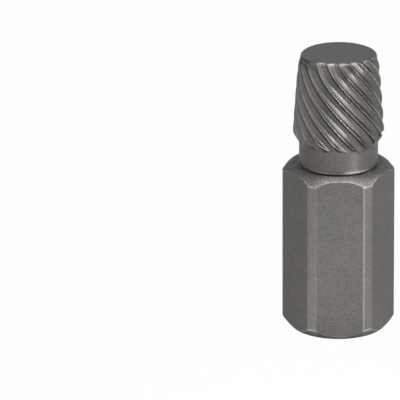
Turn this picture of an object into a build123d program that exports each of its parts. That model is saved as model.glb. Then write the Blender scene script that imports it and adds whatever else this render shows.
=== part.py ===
from build123d import *
import os
from math import cos, pi, radians, sin, tan

os.makedirs("parts", exist_ok=True)

# Hexagonal drive end, in millimetres and degrees, standing on its end face with +Z up the axis
across_flats = 15.875
corner_relief = 0.405
hex_length = 26.8
end_chamfer_width = 1.33
end_chamfer_angle = 48.0
shoulder_chamfer_width = 1.12
shoulder_chamfer_angle = 49.0
shoulder_rounding_share = 0.4

# Relief groove turned in the shoulder round the foot of the neck, and the bead that it leaves
groove_width = 0.24
groove_depth = 0.26
bead_height = 0.24
bead_overhang = 0.16
flare_height = 0.45
flare_radius = 0.5

# Neck
neck_diameter = 12.34
neck_length = 3.69
neck_root_radius = 0.3

# Tapered head: a run-out chamfer off the neck, a long taper and a steeper nose
head_diameter = 14.28
head_length = 14.15
run_out_angle = 33.0
run_out_edge_radius = 1.0
taper_angle = 4.05
nose_length = 1.65
nose_angle = 15.5
nose_edge_radius = 2.5

# Round-bottomed left-hand flutes that follow the taper and the nose, and deepen to run out into the neck
flute_count = 18
flute_lead = 48.0
flute_depth = 0.68
flute_radius = 0.83
flute_clocking = -3.1
flute_run_out_length = 2.9
flute_run_out_step = 0.06
flute_overrun = 1.2
flute_path_steps = 9

# Radii and heights worked out from the sizes above
corner_radius = across_flats / 2 / cos(pi / 6) - corner_relief
end_face_radius = corner_radius - end_chamfer_width
end_chamfer_rise = end_chamfer_width * tan(radians(end_chamfer_angle))
neck_radius = neck_diameter / 2
bead_radius = neck_radius + bead_overhang
groove_outer_radius = bead_radius + groove_width
groove_floor_height = hex_length - groove_depth
shoulder_face_radius = corner_radius - shoulder_chamfer_width
shoulder_face_width = shoulder_face_radius - groove_outer_radius
shoulder_edge_radius = shoulder_rounding_share * shoulder_face_width / tan(radians(shoulder_chamfer_angle / 2))
shoulder_chamfer_drop = shoulder_chamfer_width * tan(radians(shoulder_chamfer_angle))
bead_edge_height = hex_length + bead_height
flare_top_height = bead_edge_height + flare_height
neck_top_height = hex_length + neck_length
overall_length = neck_top_height + head_length
head_radius = head_diameter / 2
head_rim_height = neck_top_height + (head_radius - neck_radius) / tan(radians(run_out_angle))
nose_height = overall_length - nose_length
nose_radius = head_radius - (nose_height - head_rim_height) * tan(radians(taper_angle))
tip_radius = nose_radius - nose_length * tan(radians(nose_angle))


def crest_radius(height):
    """Radius of the head's turned outline, with the taper carried on below the run-out."""
    if height > nose_height:
        return nose_radius - (height - nose_height) * tan(radians(nose_angle))
    return head_radius - (height - head_rim_height) * tan(radians(taper_angle))


def flute_floor_radius(height):
    """Radius of the flute's floor, which sinks to a small step above the neck over the run-out."""
    run_out_depth = crest_radius(neck_top_height) - flute_depth - neck_radius - flute_run_out_step
    run_out_share = 1 - (height - neck_top_height) / flute_run_out_length
    return crest_radius(height) - flute_depth - run_out_depth * min(max(run_out_share, 0), 1)


def flute_centre(height):
    """Point on the line that the flute's round section follows, left-handed at a constant lead."""
    radius = flute_floor_radius(height) + flute_radius
    angle = radians(flute_clocking) + 2 * pi * (overall_length - height) / flute_lead
    return (radius * cos(angle), radius * sin(angle), height)


# Half outline of the turned bar: each corner with the radius that rounds it
outline = [
    ((0, 0), 0),
    ((end_face_radius, 0), 0),
    ((corner_radius, end_chamfer_rise), 0),
    ((corner_radius, hex_length - shoulder_chamfer_drop), 0),
    ((shoulder_face_radius, hex_length), shoulder_edge_radius),
    ((groove_outer_radius, hex_length), 0),
    ((bead_radius, groove_floor_height), 0),
    ((neck_radius, hex_length), 0),
    ((bead_radius, bead_edge_height), 0),
    ((neck_radius, flare_top_height), flare_radius),
    ((neck_radius, neck_top_height), neck_root_radius),
    ((head_radius, head_rim_height), run_out_edge_radius),
    ((nose_radius, nose_height), nose_edge_radius),
    ((tip_radius, overall_length), 0),
    ((0, overall_length), 0),
]
corners = [corner for corner, radius in outline]
corner_radii = [radius for corner, radius in outline]

# One flute's cutter: a circle carried in short steps along the flute's helix, past both ends of the cut
flute_start = neck_top_height - flute_overrun / 2
flute_end = overall_length + flute_overrun
flute_step = (flute_end - flute_start) / flute_path_steps
flute_heights = [flute_start + flute_step * step for step in range(flute_path_steps + 1)]

with BuildPart() as flute_cutter:
    with BuildLine() as flute_path:
        Polyline([flute_centre(height) for height in flute_heights])
    with BuildSketch(Plane(origin=flute_path.line @ 0, z_dir=flute_path.line % 0)):
        Circle(flute_radius)
    sweep(path=flute_path.line, transition=Transition.RIGHT)

with BuildPart() as screw_extractor:
    # Turned bar, revolved about its axis
    with BuildSketch(Plane.XZ):
        with BuildLine():
            FilletPolyline(corners, radius=corner_radii, close=True)
        make_face()
    revolve(axis=Axis.Z)
    # Six flats, cut from the drive end alone because the head and the neck are slimmer
    with BuildSketch(Plane.XY):
        RegularPolygon(radius=across_flats / 2, side_count=6, major_radius=False)
    extrude(amount=overall_length, mode=Mode.INTERSECT)
    # Flutes round the head
    with PolarLocations(0, flute_count):
        add(flute_cutter.part, mode=Mode.SUBTRACT)

screw_extractor.part.label = "screw_extractor"
export_step(screw_extractor.part, "parts/screw_extractor.step")
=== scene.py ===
import math

import bmesh
import bpy
from mathutils import Matrix, Vector, noise


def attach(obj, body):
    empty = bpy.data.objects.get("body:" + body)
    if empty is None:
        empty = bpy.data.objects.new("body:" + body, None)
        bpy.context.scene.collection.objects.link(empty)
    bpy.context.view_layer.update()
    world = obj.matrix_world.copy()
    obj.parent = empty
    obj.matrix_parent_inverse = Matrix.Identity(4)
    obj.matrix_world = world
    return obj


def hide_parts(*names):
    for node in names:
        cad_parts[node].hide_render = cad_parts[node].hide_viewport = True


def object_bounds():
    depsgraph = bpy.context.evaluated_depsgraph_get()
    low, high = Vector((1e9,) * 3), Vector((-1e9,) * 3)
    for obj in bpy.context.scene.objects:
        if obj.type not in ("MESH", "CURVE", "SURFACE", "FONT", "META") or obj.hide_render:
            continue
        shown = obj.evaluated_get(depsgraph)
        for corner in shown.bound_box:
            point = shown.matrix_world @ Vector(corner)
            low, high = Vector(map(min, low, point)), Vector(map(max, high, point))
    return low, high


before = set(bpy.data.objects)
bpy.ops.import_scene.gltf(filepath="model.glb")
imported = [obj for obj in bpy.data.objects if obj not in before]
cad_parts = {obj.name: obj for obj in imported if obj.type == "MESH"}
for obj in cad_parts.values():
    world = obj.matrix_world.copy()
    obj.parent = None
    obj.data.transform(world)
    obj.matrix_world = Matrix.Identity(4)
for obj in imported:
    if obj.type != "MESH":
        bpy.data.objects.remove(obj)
cad_low, cad_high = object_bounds()

MM = 0.001

# Share of the width kept, so that the fine outline stays inside the solid's faceted one
SLIMMING = 0.9998

# Lengths in millimetres: points this close are level, merge while the piece is built, and merge at the end
LEVEL = 1e-3
MERGE = 1e-4
FINAL_MERGE = 1e-5

# Area in square millimetres that only the faces of the six flats exceed
FLAT_AREA = 50

# Drive end, in millimetres, with one column of the turned mesh to each degree
COLUMNS = 360
FLAT_DISTANCE = round(cad_high[1] / MM, 4)
CORNER_RADIUS = 8.758
END_FACE_RADIUS = 7.43
CHAMFER_BOTTOM = 1.48
CHAMFER_TOP = 25.52
UPRIGHT_ROUNDING = 0.2
UPRIGHT_STEPS = 4
ARC_ROUNDING = 0.1
ARC_STEPS = 3
RING_INSET = 0.4

# Domed shoulder, and the relief groove round the neck's foot with its bead
SHOULDER_RADIUS = 7.6
GROOVE_TOP = 26.82
GROOVE_OUTER_RADIUS = 6.58
NECK_RADIUS = 6.17
BEAD_TOP = 27.3
DRIVE_TOP = 26.85

# How far the groove is filled and its bead flattened round the back. Towards the front both come back to
# their full form, between two cosines of the angle to it
GROOVE_FILLED = 0.92
GROOVE_OPENS = 0.3
GROOVE_OPEN = 0.9
GROOVE_RIM = 0.01
BEAD_FLATTENED_RADIUS = 6.19
BEAD_OUTER_RADIUS = 6.36

# Head: crest line of the lands, a little barrelled over the long taper and steeper on the nose
NECK_TOP = 30.49
RIM_RADIUS = 7.14
RIM_HEIGHT = 31.98
TAPER = math.tan(math.radians(4.05))
BULGE = 0.05
NOSE_HEIGHT = 42.99
NOSE_TAPER = math.tan(math.radians(15.5))
TOP = round(cad_high[2] / MM, 2)
TIP_INNER_RADIUS = 3.4
RING_SPACING = 0.18

# Round left-hand flutes between the lands, with more of the mesh's columns drawn to the crests
FLUTES = 18
PITCH = 2 * math.pi / FLUTES
LEAD = 48.0
TURN = -2 * math.pi / LEAD
FLUTE_DEPTH = 0.68
FLUTE_RADIUS = 0.88
FLUTE_RUN_IN = 0.6
FLUTE_START = NECK_TOP - FLUTE_RUN_IN
CREST_ANGLE = 18.58
CREST_ANGLE_HEIGHT = 37.77
CREST_SOFTNESS = 0.05
CREST_CROWDING = 0.6

# The flutes deepen towards the neck, so that they run out into it
RUN_OUT_DEPTH = 0.33
RUN_OUT_START = 33.6
RUN_OUT_END = 30.9

# The tip is ground off a little more on one side
GRIND_ABOVE = RIM_HEIGHT + 1
GROUND_SIDE = math.radians(-92)
GROUND_INSET = 0.8
GROUND_START = 41.5
GROUND_CURVE = 1.4

# Away from the other side, the flutes die out below the rim
FLUTED_SIDE = math.radians(-75)
FLUTED_FROM = 0.35
FLUTED_FULL = 0.72
FADE_START = 42.8
FADE_END = 44.4
FADED = 0.95

# Irregular flute floors: depth of the ripple in millimetres, ripples to the millimetre and how far they are
# drawn out along the axis, with finer ripples over them, and the shares of the pitch where they come in
RIPPLE = 0.005
RIPPLE_SCALE = 1.1
RIPPLE_DRAW = 0.6
FINE_RIPPLE = 0.5
FINE_RIPPLE_SCALE = 2.7
RIPPLE_MARGIN = 0.02
RIPPLE_FULL = 0.2

# Edges of the drive end worn bright: width of the line in millimetres, and its strength on the arcs and on
# the uprights, of which one also carries a painted highlight
WORN_WIDTH = 0.08
ARC_WORN = 0.85
UPRIGHT_WORN = 0.06
UPRIGHT_PAINTED_HIGHLIGHT = 0.4
HIGHLIGHTED_UPRIGHT_ANGLE = -65
HIGHLIGHTED_UPRIGHT_SPREAD = 4
UPRIGHT_MARGIN = 0.15

# Edges of the head worn bright, partly as a painted highlight: the tip's rim on the side that is ground off,
# and the crests, with the painted highlight strongest on one side. Widths are in millimetres and as a share
# of the pitch, sides as cosines of the angle to them
RIM_WORN_WIDTH = 0.2
RIM_HIGHLIGHT_FROM = 0.7
RIM_HIGHLIGHT_FULL = 0.9
CREST_WORN_SHARE = 0.035
CREST_HIGHLIGHT_SIDE = math.radians(-60)
CREST_WORN_LEAST = 0.3
CREST_HIGHLIGHT_FROM = 0.3
CREST_HIGHLIGHT_FULL = 0.85
CREST_WORN_LOW = NECK_TOP + 0.1
CREST_WORN_HIGH = NECK_TOP + 0.8

# How much of the lighter, rougher turned skin shows on the corner bands, with more on one of them as a
# painted highlight
BAND_TURNED = 0.15
HIGHLIGHTED_BAND = -120
BAND_SKIN_AND_HIGHLIGHT = 0.23

# The same on the neck, with a lighter streak that is a painted highlight, up to where the head begins
NECK_TURNED = 0.025
NECK_PAINTED_HIGHLIGHT = 0.22
NECK_HIGHLIGHT_ANGLE = -67
NECK_HIGHLIGHT_SPREAD = 8
NECK_SKIN_FULL = NECK_TOP - 0.4
NECK_SKIN_END = NECK_TOP + 0.6

# The same on the shoulder, with painted highlight making it lighter towards the front and brightest in a
# patch there
SHOULDER_INNER_RADIUS = 6.4
SHOULDER_TURNED = 0.04
SHOULDER_PAINTED_HIGHLIGHT = 0.14
SHOULDER_HIGHLIGHT_FROM = 0.5
SHOULDER_HIGHLIGHT_PATCH = 0.42
SHOULDER_PATCH_FROM = 0.88
SHOULDER_PATCH_FULL = 0.99

# Coarseness of the grain: 1 on the drive end's flats
SHOULDER_COARSE = 2
PATCH_COARSER = 0.2
HEAD_COARSER = 0.2
TIP_FACE_COARSE = 0.3

# Steel: its colours, which also carry the painted highlights, and how metallic its turned skin is
COOL_STEEL = (0.190, 0.188, 0.175, 1)
WARM_STEEL = (0.214, 0.199, 0.190, 1)
TURNED_SKIN_AND_HIGHLIGHT = (0.5, 0.48, 0.455, 1)
BARE_STEEL_AND_HIGHLIGHT = (0.76, 0.74, 0.715, 1)
TURNED_METALLIC = 0.7

# Patterns: their repeats to the metre, the ranges of the noise that are spread out, and the grain's contrast
MOTTLE_SCALE = 420.0
GRAIN_SCALE = 3200.0
SPECK_SCALE = 5200.0
MIDDLE_NOISE = (0.35, 0.65)
MOST_NOISE = (0.25, 0.75)
GRAIN_CONTRAST = 0.24

# Bare specks in the turned skin, which are painted glints where that skin is a painted highlight, and how
# patchy the worn edges and painted highlights are
SPECK_NOISE = (0.58, 0.68)
SPECK_STRENGTH = 0.8
WORN_LEAST = 0.35
WORN_MOST = 1.3

# The ground drive end is a little brighter than the neck and the head, and ends between two heights
GROUND_BRIGHTNESS = 1.12
GROUND_BELOW = 26.4 * MM
GROUND_END = 26.8 * MM

# Roughness of the grain, how much it differs on worn edges, the head and coarse places, and the relief
SMOOTHEST = 0.3
ROUGHEST = 0.38
WORN_SMOOTHER = -0.05
HEAD_SMOOTHER = -0.04
HEAD_SMOOTHER_FROM = 30.4 * MM
HEAD_SMOOTHER_FULL = 31.2 * MM
COARSE_ROUGHER = 0.3
COARSE_ROUGHER_FROM = 1.2
GRAIN_BUMP = 0.35
GRAIN_BUMP_DEPTH = 0.02 * MM

# Studio: the floor, the surround and how bright the camera and the tool's reflections see them
FLOOR_RADIUS = 0.6
FLOOR_COLOUR = (0.8, 0.8, 0.8, 1)
FLOOR_SEEN_WHITE = 0.98
FLOOR_MIRRORED_WHITE = 0.05
SURROUND = 0.19
AIM_HEIGHT = 22 * MM

# Square lamps: name, azimuth turned from the camera side to the right, elevation, distance, size and power
SOFTBOXES = [
    ("key", 34, 12, 0.4, 0.133, 0.2),
    ("key_left", 24, 12, 0.4, 0.133, 0.13),
    ("right", 60, 35, 0.25, 0.4, 0.43),
    ("right_side", 65, 25, 0.3, 0.12, 0.08),
    ("left", -50, 35, 0.25, 0.35, 0.19),
    ("behind", 180, 18, 0.25, 0.4, 0.125),
]

# Narrow lamp over the floor in front of the tool
FLOOR_LAMP_PLACE = (0, -0.045, 0.12)
FLOOR_LAMP_SIZE = 0.06
FLOOR_LAMP_POWER = 0.0058
FLOOR_LAMP_SPREAD = math.radians(40)

# Camera: focal length, place in millimetres before it is turned, and its turn, tilt and roll
FOCAL_LENGTH = 654.9
CAMERA_PLACE = Vector((-21.642, -1064.85, 421.65)) * MM
CAMERA_TURN = math.radians(-0.724)
CAMERA_TILT = math.radians(90 - 20.639)
CAMERA_ROLL = math.radians(-0.252)


def smooth_step(low, high, value):
    """Rises softly from 0 at the low end to 1 at the high end."""
    share = min(max((value - low) / (high - low), 0), 1)
    return share * share * (3 - 2 * share)


def bell(distance, width):
    """1 at no distance, falling softly to next to nothing at twice the width."""
    return math.exp(-(distance / width) ** 2)


def soft_min(a, b, softness):
    """The smaller of two lengths, blended where they are close."""
    blend = max(softness - abs(a - b), 0) / softness
    return min(a, b) - blend * blend * softness / 4


def crest_radius(height):
    """Radius of the lands at a height."""
    if height > NOSE_HEIGHT:
        return crest_radius(NOSE_HEIGHT) - (height - NOSE_HEIGHT) * NOSE_TAPER
    along = (height - RIM_HEIGHT) / (NOSE_HEIGHT - RIM_HEIGHT)
    barrel = BULGE * 4 * along * (1 - along) if along > 0 else 0
    return RIM_RADIUS - (height - RIM_HEIGHT) * TAPER + barrel


TIP_RADIUS = crest_radius(TOP)

# Half outline of the turned bar: radius, height, how far each corner is rounded and in how many steps
OUTLINE = [
    (0.0, 0.0, 0.0, 0),
    (7.2, 0.0, 0.0, 0),
    (END_FACE_RADIUS, 0.0, 0.08, 3),
    (CORNER_RADIUS, CHAMFER_BOTTOM, 0.0, 0),
    (CORNER_RADIUS, CHAMFER_BOTTOM + RING_INSET, 0.0, 0),
    (CORNER_RADIUS, CHAMFER_TOP - RING_INSET, 0.0, 0),
    (CORNER_RADIUS, CHAMFER_TOP, 0.0, 0),
    (SHOULDER_RADIUS, GROOVE_TOP, 0.94, 10),
    (GROOVE_OUTER_RADIUS, GROOVE_TOP, 0.05, 3),
    (6.35, 26.46, 0.06, 3),
    (6.19, 26.7, 0.0, 0),
    (6.33, 27.02, 0.07, 4),
    (6.21, 27.2, 0.08, 3),
    (NECK_RADIUS, 27.49, 0.1, 3),
    (NECK_RADIUS, NECK_TOP, 0.3, 5),
    (RIM_RADIUS, RIM_HEIGHT, 0.33, 6),
    (crest_radius(37.5), 37.5, 2.6, 8),
    (crest_radius(NOSE_HEIGHT), NOSE_HEIGHT, 0.29, 4),
    (TIP_RADIUS, TOP, 0.14, 5),
    (TIP_INNER_RADIUS, TOP, 0.0, 0),
    (0.0, TOP, 0.0, 0),
]


def draw_outline(bm):
    """The half outline as a wire, rounded at its corners and cut into rings above and below the hexagon."""
    corners = [bm.verts.new((radius, 0, height)) for radius, height, offset, steps in OUTLINE]
    for low, high in zip(corners, corners[1:]):
        bm.edges.new((low, high))
    for corner, (radius, height, offset, steps) in zip(corners, OUTLINE):
        if steps:
            bmesh.ops.bevel(bm, geom=[corner], offset=offset, offset_type="OFFSET", segments=steps,
                            profile=0.5, affect="VERTICES", material=-1)
    for edge in list(bm.edges):
        low, high = sorted(vert.co.z for vert in edge.verts)
        between_chamfers = high > CHAMFER_BOTTOM + LEVEL and low < CHAMFER_TOP - LEVEL
        reaches_axis = min(vert.co.x for vert in edge.verts) < MERGE
        cuts = int(edge.calc_length() / RING_SPACING)
        if cuts and not between_chamfers and not reaches_axis:
            bmesh.ops.subdivide_edges(bm, edges=[edge], cuts=cuts)


def is_upright(edge):
    """Whether an edge runs parallel to the axis."""
    low, high = edge.verts
    return (low.co.xy - high.co.xy).length < LEVEL


def is_level_at(edge, height):
    """Whether an edge lies level at a height."""
    return all(abs(vert.co.z - height) < LEVEL for vert in edge.verts)


def round_edges(bm, edges, offset, steps):
    """Rounds edges of the drive end."""
    bmesh.ops.bevel(bm, geom=edges, offset=offset, offset_type="OFFSET", segments=steps, profile=0.5,
                    affect="EDGES", clamp_overlap=True, material=-1)


def cut_flats(bm):
    """Six flats cut from the turned bar and closed, with their outlines and the chamfers' edges rounded."""
    for side in range(6):
        angle = math.radians(30 + 60 * side)
        outward = Vector((math.cos(angle), math.sin(angle), 0))
        everything = list(bm.verts) + list(bm.edges) + list(bm.faces)
        cut = bmesh.ops.bisect_plane(bm, geom=everything, dist=MERGE, plane_co=outward * FLAT_DISTANCE,
                                     plane_no=outward, clear_outer=True)
        rim = [part for part in cut["geom_cut"] if isinstance(part, bmesh.types.BMEdge)]
        bmesh.ops.edgeloop_fill(bm, edges=rim)
    bmesh.ops.recalc_face_normals(bm, faces=bm.faces)
    uprights = [edge for edge in edges_of_flats(bm) if is_upright(edge)]
    round_edges(bm, uprights, UPRIGHT_ROUNDING, UPRIGHT_STEPS)
    arcs = [edge for edge in edges_of_flats(bm) if not is_upright(edge)]
    arcs += [edge for edge in bm.edges if is_level_at(edge, CHAMFER_BOTTOM) or is_level_at(edge, CHAMFER_TOP)]
    round_edges(bm, list(dict.fromkeys(arcs)), ARC_ROUNDING, ARC_STEPS)


def edges_of_flats(bm):
    """Edges round the six flats."""
    return [edge for face in bm.faces if face.calc_area() > FLAT_AREA for edge in face.edges]


def skin_and_highlight_of_neck(round_axis, height):
    """How much turned skin the neck shows at an angle in degrees, with its painted highlight streak."""
    # Painted highlight: a lighter streak down the neck where the lamps' highlight falls
    neck_highlight = NECK_PAINTED_HIGHLIGHT * bell(round_axis - NECK_HIGHLIGHT_ANGLE, NECK_HIGHLIGHT_SPREAD)
    return (NECK_TURNED + neck_highlight) * (1 - smooth_step(NECK_SKIN_FULL, NECK_SKIN_END, height))


def drive_end_wear_and_highlight(gaps, round_axis, height):
    """How far a place is worn bright from its gaps to the surfaces meeting in the nearest edge, with one
    upright's painted highlight.
    """
    nearest, second = sorted(max(gap, 0) for gap in gaps)[:2]
    strength = ARC_WORN
    if CHAMFER_BOTTOM + UPRIGHT_MARGIN < height < CHAMFER_TOP - UPRIGHT_MARGIN:
        # Painted highlight: the upright edge where the key lamp's highlight runs is brightened more
        upright_highlight = UPRIGHT_PAINTED_HIGHLIGHT * bell(round_axis - HIGHLIGHTED_UPRIGHT_ANGLE, HIGHLIGHTED_UPRIGHT_SPREAD)
        strength = UPRIGHT_WORN + upright_highlight
    return strength * bell(nearest + second, WORN_WIDTH)


def mark_drive_end(bm):
    """How worn and coarse each place below the head is, how much turned skin it shows, and its painted
    highlights.
    """
    wear_and_painted_highlight = bm.verts.layers.float["wear_and_painted_highlight"]
    coarse = bm.verts.layers.float["coarse"]
    turned = bm.verts.layers.float["turned"]
    on_flats = {vert for face in bm.faces if face.calc_area() > FLAT_AREA for vert in face.verts}
    bottom_slope = (CORNER_RADIUS - END_FACE_RADIUS) / CHAMFER_BOTTOM
    top_slope = (CORNER_RADIUS - SHOULDER_RADIUS) / (GROOVE_TOP - CHAMFER_TOP)
    for vert in bm.verts:
        x, y, height = vert.co
        radius = math.hypot(x, y)
        round_axis = math.degrees(math.atan2(y, x))
        vert[coarse] = 1.0
        if height > DRIVE_TOP or radius < MERGE:
            vert[turned] = skin_and_highlight_of_neck(round_axis, height)
            continue
        if vert in on_flats:
            continue
        flat = FLAT_DISTANCE - radius * math.cos(math.radians(round_axis % 60 - 30))
        barrel = CORNER_RADIUS - radius
        bottom = END_FACE_RADIUS + height * bottom_slope - radius
        top = SHOULDER_RADIUS + (GROOVE_TOP - height) * top_slope - radius
        vert[wear_and_painted_highlight] = drive_end_wear_and_highlight((flat, barrel, bottom, top), round_axis, height)
        if height > CHAMFER_TOP and radius > SHOULDER_INNER_RADIUS and top < min(flat, barrel):
            # Painted highlight: the shoulder is lighter towards the front and brightest in a patch there
            facing = math.cos(math.radians(round_axis) - GROUND_SIDE)
            worn_and_highlit = smooth_step(SHOULDER_PATCH_FROM, SHOULDER_PATCH_FULL, facing)
            front_highlight = smooth_step(SHOULDER_HIGHLIGHT_FROM, SHOULDER_PATCH_FROM, facing)
            vert[turned] = SHOULDER_TURNED + SHOULDER_PAINTED_HIGHLIGHT * front_highlight + SHOULDER_HIGHLIGHT_PATCH * worn_and_highlit
            vert[coarse] = SHOULDER_COARSE + PATCH_COARSER * worn_and_highlit
        elif barrel < flat:
            # Turned skin on the bands, with more on one band as a painted highlight
            vert[turned] = BAND_SKIN_AND_HIGHLIGHT if abs(round_axis - HIGHLIGHTED_BAND) < 30 else BAND_TURNED


def soften_groove(bm):
    """Fills the groove and flattens its bead round the back, where both are shallow."""
    for vert in bm.verts:
        x, y, height = vert.co
        radius = math.hypot(x, y)
        if height >= BEAD_TOP or not NECK_RADIUS < radius < GROOVE_OUTER_RADIUS - GROOVE_RIM:
            continue
        facing = math.cos(math.atan2(y, x) - GROUND_SIDE)
        share = GROOVE_FILLED * (1 - smooth_step(GROOVE_OPENS, GROOVE_OPEN, facing))
        if height < GROOVE_TOP:
            vert.co.z += (GROOVE_TOP - height) * share
        if radius < BEAD_OUTER_RADIUS:
            vert.co.xy *= 1 + (BEAD_FLATTENED_RADIUS - radius) * share / radius


def follow_flutes(x, y, height):
    """A column's angle on its way up the helix, its share of the way across a flute and how settled it is."""
    first_crest = math.radians(CREST_ANGLE) + TURN * (FLUTE_START - CREST_ANGLE_HEIGHT)
    settled = min((height - FLUTE_START) / FLUTE_RUN_IN, 1)
    place = (math.atan2(y, x) - first_crest) / PITCH
    share = place - math.floor(place)
    across = share - settled * CREST_CROWDING * math.sin(2 * math.pi * share) / (2 * math.pi)
    angle = first_crest + PITCH * (math.floor(place) + across) + TURN * (height - FLUTE_START)
    return angle, across, settled


def flute_floor(radius, height, angle, across):
    """Radius of the flute's round floor, with its deepening towards the neck and its ripple."""
    crest = crest_radius(height)
    slope = math.atan(crest * abs(TURN))
    offset = (across - 0.5) * PITCH * crest * math.cos(slope)
    dip = math.sqrt(max(FLUTE_RADIUS ** 2 - offset ** 2, 0))
    depth = FLUTE_DEPTH + RUN_OUT_DEPTH * (1 - smooth_step(RUN_OUT_END, RUN_OUT_START, height))
    place = Vector((radius * math.cos(angle), radius * math.sin(angle), height * RIPPLE_DRAW)) * RIPPLE_SCALE
    ripple = noise.noise(place) + FINE_RIPPLE * noise.noise(place * FINE_RIPPLE_SCALE)
    ripple = RIPPLE * ripple * smooth_step(RIPPLE_MARGIN, RIPPLE_FULL, min(across, 1 - across))
    return crest - depth + FLUTE_RADIUS - dip + ripple


def grind_tip(radius, height, angle, floor):
    """Radius near the tip, where most flutes die out below the rim and one side is ground off more."""
    crest = crest_radius(height)
    kept = smooth_step(FLUTED_FROM, FLUTED_FULL, math.cos(angle - FLUTED_SIDE))
    cut = crest - soft_min(crest, floor, CREST_SOFTNESS)
    cut *= 1 - FADED * (1 - kept) * smooth_step(FADE_START, FADE_END, height)
    facing = max(math.cos(angle - GROUND_SIDE), 0)
    up_tip = max((height - GROUND_START) / (TOP - GROUND_START), 0)
    inset = GROUND_INSET * facing ** 2 * up_tip ** GROUND_CURVE
    reach = 1
    if height > TOP - LEVEL and radius < TIP_RADIUS:
        reach = max(radius - TIP_INNER_RADIUS, 0) / (TIP_RADIUS - TIP_INNER_RADIUS)
    return radius - (cut + inset) * reach


def crest_wear_and_highlight(height, angle, across):
    """How far a place is worn bright by its nearness to a crest, with a painted highlight strongest on one
    side.
    """
    # Painted highlight: the crests' brightening is strongest on the side facing the key lamp
    side = smooth_step(CREST_HIGHLIGHT_FROM, CREST_HIGHLIGHT_FULL, math.cos(angle - CREST_HIGHLIGHT_SIDE))
    strength = CREST_WORN_LEAST + (1 - CREST_WORN_LEAST) * side
    lower_end = smooth_step(CREST_WORN_LOW, CREST_WORN_HIGH, height)
    return bell(min(across, 1 - across), CREST_WORN_SHARE) * strength * lower_end


def cut_flutes(bm):
    """Left-hand flutes round the head: the columns follow the helix and sink to the flutes' floors."""
    wear_and_painted_highlight = bm.verts.layers.float["wear_and_painted_highlight"]
    coarse = bm.verts.layers.float["coarse"]
    for vert in bm.verts:
        x, y, height = vert.co
        radius = math.hypot(x, y)
        if height < FLUTE_START or radius < MERGE:
            continue
        angle, across, settled = follow_flutes(x, y, height)
        floor = flute_floor(radius, height, angle, across)
        if height > GRIND_ABOVE:
            cut = grind_tip(radius, height, angle, floor)
        else:
            cut = soft_min(radius, floor, CREST_SOFTNESS)
        vert.co = (cut * math.cos(angle), cut * math.sin(angle), height)
        near_rim = bell(TOP - height + TIP_RADIUS - radius, RIM_WORN_WIDTH)
        on_face = height > TOP - LEVEL and near_rim < 0.5
        crest_wear_and_sheen = 0 if on_face else crest_wear_and_highlight(height, angle, across)
        # The rim's bright edge is bare ground steel and a painted highlight, only on the ground side
        rim_highlight_side = smooth_step(RIM_HIGHLIGHT_FROM, RIM_HIGHLIGHT_FULL, math.cos(angle - GROUND_SIDE))
        vert[wear_and_painted_highlight] = max(crest_wear_and_sheen, near_rim * rim_highlight_side)
        vert[coarse] = TIP_FACE_COARSE if on_face else 1 + settled * HEAD_COARSER


def make_extractor():
    """The whole tool as one turned, flatted and fluted piece."""
    bm = bmesh.new()
    for name in ("wear_and_painted_highlight", "coarse", "turned"):
        bm.verts.layers.float.new(name)
    draw_outline(bm)
    bmesh.ops.spin(bm, geom=list(bm.verts) + list(bm.edges), cent=(0, 0, 0), axis=(0, 0, 1),
                   angle=2 * math.pi, steps=COLUMNS, use_merge=True)
    bmesh.ops.remove_doubles(bm, verts=bm.verts, dist=MERGE)
    cut_flats(bm)
    mark_drive_end(bm)
    soften_groove(bm)
    cut_flutes(bm)
    bmesh.ops.remove_doubles(bm, verts=bm.verts, dist=FINAL_MERGE)
    bmesh.ops.recalc_face_normals(bm, faces=bm.faces)
    for face in bm.faces:
        face.smooth = face.calc_area() < FLAT_AREA
    bmesh.ops.scale(bm, vec=(MM * SLIMMING, MM * SLIMMING, MM), verts=bm.verts)
    return add_piece("extractor_body", bm)


def add_piece(name, bm):
    """A mesh object in the scene, made from a bmesh that isn't needed any more."""
    mesh = bpy.data.meshes.new(name)
    bm.to_mesh(mesh)
    bm.free()
    piece = bpy.data.objects.new(name, mesh)
    bpy.context.scene.collection.objects.link(piece)
    return piece


def feed(tree, socket, value):
    """Sets a constant on a socket, or links another socket to it."""
    if isinstance(value, bpy.types.NodeSocket):
        tree.links.new(value, socket)
    else:
        socket.default_value = value


def calculate(tree, operation, *values):
    """A Math node on numbers or sockets."""
    step = tree.nodes.new("ShaderNodeMath")
    step.operation = operation
    for socket, value in zip(step.inputs, values):
        feed(tree, socket, value)
    return step.outputs[0]


def remap(tree, value, low, high, new_low, new_high):
    """A value's range spread over a new one, and held at its ends."""
    spread = tree.nodes.new("ShaderNodeMapRange")
    spread.inputs["From Min"].default_value = low
    spread.inputs["From Max"].default_value = high
    spread.inputs["To Min"].default_value = new_low
    spread.inputs["To Max"].default_value = new_high
    tree.links.new(value, spread.inputs["Value"])
    return spread.outputs["Result"]


def blend(tree, share, a, b):
    """Two colours mixed by the share of the second."""
    mix = tree.nodes.new("ShaderNodeMix")
    mix.data_type = "RGBA"
    tree.links.new(share, mix.inputs["Factor"])
    feed(tree, mix.inputs["A"], a)
    feed(tree, mix.inputs["B"], b)
    return mix.outputs["Result"]


def scatter(tree, place, scale, detail, stretch):
    """Noise over the piece, flattened along the axis by the stretch."""
    flatten = tree.nodes.new("ShaderNodeMapping")
    flatten.inputs["Scale"].default_value = (1.0, 1.0, stretch)
    texture = tree.nodes.new("ShaderNodeTexNoise")
    texture.inputs["Scale"].default_value = scale
    texture.inputs["Detail"].default_value = detail
    tree.links.new(place, flatten.inputs["Vector"])
    tree.links.new(flatten.outputs["Vector"], texture.inputs["Vector"])
    return texture.outputs["Fac"]


def read_mark(tree, name):
    """One of the marks that the mesh carries."""
    mark = tree.nodes.new("ShaderNodeAttribute")
    mark.attribute_name = name
    return mark.outputs["Fac"]


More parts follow.
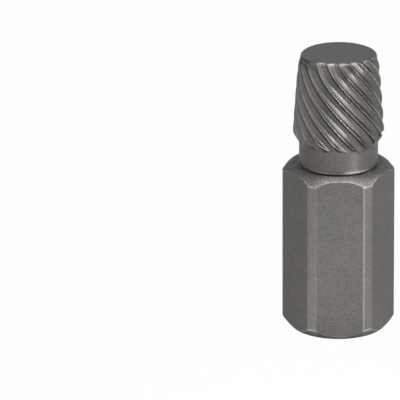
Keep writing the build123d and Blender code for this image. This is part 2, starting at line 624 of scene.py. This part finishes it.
def make_steel():
    """Dark hardened steel: faintly mottled and grained, with its edges and its turned skin worn brighter and
    with painted highlights.
    """
    steel = bpy.data.materials.new("dark_steel")
    steel.use_nodes = True
    tree = steel.node_tree
    surface = tree.nodes["Principled BSDF"]
    place = tree.nodes.new("ShaderNodeTexCoord").outputs["Object"]
    split = tree.nodes.new("ShaderNodeSeparateXYZ")
    tree.links.new(place, split.inputs[0])
    height = split.outputs["Z"]
    wear_and_painted_highlight, coarse, turned = (read_mark(tree, name) for name in ("wear_and_painted_highlight", "coarse", "turned"))
    mottle = scatter(tree, place, MOTTLE_SCALE, 4.0, 1.5)
    grain = scatter(tree, place, GRAIN_SCALE, 2.0, 2.0)
    specks = scatter(tree, place, SPECK_SCALE, 1.0, 1.0)

    # Colour: the mottled steel, the turned skin over it, and bare steel where an edge is worn, with painted
    # highlights carried by the same marks
    tint = blend(tree, remap(tree, mottle, *MIDDLE_NOISE, 0.0, 1.0), COOL_STEEL, WARM_STEEL)
    # The turned share includes painted highlights on the neck, one band and the shoulder's front
    tint = blend(tree, turned, tint, TURNED_SKIN_AND_HIGHLIGHT)
    contrast = remap(tree, grain, *MOST_NOISE, -GRAIN_CONTRAST, GRAIN_CONTRAST)
    grained = calculate(tree, "ADD", calculate(tree, "MULTIPLY", contrast, coarse), 1.0)
    ground = remap(tree, height, GROUND_BELOW, GROUND_END, GROUND_BRIGHTNESS, 1.0)
    brightness = tree.nodes.new("ShaderNodeVectorMath")
    brightness.operation = "SCALE"
    tree.links.new(tint, brightness.inputs[0])
    tree.links.new(calculate(tree, "MULTIPLY", grained, ground), brightness.inputs["Scale"])
    # Specks of bare steel, which are painted glints within the painted highlights
    specks_and_glints = remap(tree, specks, *SPECK_NOISE, 0.0, SPECK_STRENGTH)
    specks_and_glints = calculate(tree, "MULTIPLY", turned, specks_and_glints)
    worn_and_highlit = calculate(tree, "MULTIPLY", wear_and_painted_highlight, remap(tree, specks, *MIDDLE_NOISE, WORN_LEAST, WORN_MOST))
    worn_and_highlit = calculate(tree, "MINIMUM", calculate(tree, "ADD", worn_and_highlit, specks_and_glints), 1.0)
    colour = blend(tree, worn_and_highlit, brightness.outputs["Vector"], BARE_STEEL_AND_HIGHLIGHT)
    tree.links.new(colour, surface.inputs["Base Color"])
    metallic = calculate(tree, "MULTIPLY_ADD", turned, TURNED_METALLIC - 1.0, 1.0)
    tree.links.new(metallic, surface.inputs["Metallic"])

    # Roughness: smoother on the head and on worn edges, and rougher where the surface is coarse
    rough = remap(tree, grain, *MOST_NOISE, SMOOTHEST, ROUGHEST)
    rough = calculate(tree, "ADD", rough, calculate(tree, "MULTIPLY", worn_and_highlit, WORN_SMOOTHER))
    on_head = remap(tree, height, HEAD_SMOOTHER_FROM, HEAD_SMOOTHER_FULL, 0.0, HEAD_SMOOTHER)
    rough = calculate(tree, "ADD", rough, on_head)
    coarser = calculate(tree, "MAXIMUM", calculate(tree, "SUBTRACT", coarse, COARSE_ROUGHER_FROM), 0.0)
    rough = calculate(tree, "MULTIPLY_ADD", coarser, COARSE_ROUGHER, rough)
    tree.links.new(rough, surface.inputs["Roughness"])

    # Relief: the grain, deeper where the surface is coarse
    bump = tree.nodes.new("ShaderNodeBump")
    bump.inputs["Strength"].default_value = GRAIN_BUMP
    bump.inputs["Distance"].default_value = GRAIN_BUMP_DEPTH
    tree.links.new(calculate(tree, "MULTIPLY", grain, coarse), bump.inputs["Height"])
    tree.links.new(bump.outputs["Normal"], surface.inputs["Normal"])
    return steel


def make_paper():
    """White paper that shows plain white to the camera, and a share of it to reflections."""
    paper = bpy.data.materials.new("white_paper")
    paper.use_nodes = True
    tree = paper.node_tree
    tree.nodes.remove(tree.nodes["Principled BSDF"])
    matt = tree.nodes.new("ShaderNodeBsdfDiffuse")
    matt.inputs["Color"].default_value = FLOOR_COLOUR
    glow = tree.nodes.new("ShaderNodeEmission")
    glow.inputs["Strength"].default_value = 1.0
    rays = tree.nodes.new("ShaderNodeLightPath").outputs
    mirrored = calculate(tree, "MAXIMUM", rays["Is Glossy Ray"], rays["Is Transmission Ray"])
    share = calculate(tree, "MULTIPLY", mirrored, FLOOR_MIRRORED_WHITE)
    share = calculate(tree, "MULTIPLY_ADD", rays["Is Camera Ray"], FLOOR_SEEN_WHITE, share)
    both = tree.nodes.new("ShaderNodeMixShader")
    tree.links.new(share, both.inputs["Fac"])
    tree.links.new(matt.outputs[0], both.inputs[1])
    tree.links.new(glow.outputs[0], both.inputs[2])
    tree.links.new(both.outputs[0], tree.nodes["Material Output"].inputs["Surface"])
    return paper


def make_floor():
    """Plain white floor with the tool's soft shadow."""
    bm = bmesh.new()
    bmesh.ops.create_circle(bm, cap_ends=True, segments=64, radius=FLOOR_RADIUS)
    floor = add_piece("studio_floor", bm)
    floor.data.materials.append(make_paper())


def make_world():
    """Even studio surround, which the camera sees as white beyond the floor's edge."""
    world = bpy.data.worlds.new("studio")
    bpy.context.scene.world = world
    world.use_nodes = True
    tree = world.node_tree
    surround = tree.nodes["Background"]
    surround.inputs["Color"].default_value = (1, 1, 1, 1)
    rays = tree.nodes.new("ShaderNodeLightPath").outputs
    tree.links.new(calculate(tree, "MAXIMUM", rays["Is Camera Ray"], SURROUND), surround.inputs["Strength"])


def add_lamp(name, size, power):
    """Square area lamp that still has to be placed."""
    lamp = bpy.data.lights.new(name, "AREA")
    lamp.shape = "SQUARE"
    lamp.size = size
    lamp.energy = power
    box = bpy.data.objects.new(name, lamp)
    bpy.context.scene.collection.objects.link(box)
    return box


def make_softboxes():
    """Large lamps round the tool, aimed at its middle."""
    for name, azimuth, elevation, distance, size, power in SOFTBOXES:
        box = add_lamp(name, size, power)
        a, e = math.radians(azimuth), math.radians(elevation)
        away = Vector((math.sin(a) * math.cos(e), -math.cos(a) * math.cos(e), math.sin(e)))
        box.location = Vector((0, 0, AIM_HEIGHT)) + away * distance
        box.rotation_mode = "QUATERNION"
        box.rotation_quaternion = away.to_track_quat("Z", "Y")


def light_floor_in_front():
    """Narrow lamp straight above the floor in front of the tool, which the front flat mirrors."""
    box = add_lamp("floor_front", FLOOR_LAMP_SIZE, FLOOR_LAMP_POWER)
    box.data.spread = FLOOR_LAMP_SPREAD
    box.location = FLOOR_LAMP_PLACE


def make_camera():
    """Long lens, 20.6 degrees down, with the tool standing to the right of the middle of the picture."""
    lens = bpy.data.cameras.new("camera")
    lens.sensor_width = 36
    lens.lens = FOCAL_LENGTH
    lens.clip_start, lens.clip_end = 0.1, 10
    camera = bpy.data.objects.new("camera", lens)
    turned = Matrix.Rotation(CAMERA_TURN, 4, "Z")
    tilt = Matrix.Rotation(CAMERA_TILT, 4, "X")
    roll = Matrix.Rotation(CAMERA_ROLL, 4, "Z")
    camera.matrix_world = turned @ Matrix.Translation(CAMERA_PLACE) @ tilt @ roll
    bpy.context.scene.collection.objects.link(camera)
    bpy.context.scene.camera = camera


body = make_extractor()
body.data.materials.append(make_steel())
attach(body, "root")
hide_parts("screw_extractor")

make_floor()
make_world()
make_softboxes()
light_floor_in_front()
make_camera()
bpy.context.scene.view_settings.view_transform = "Standard"
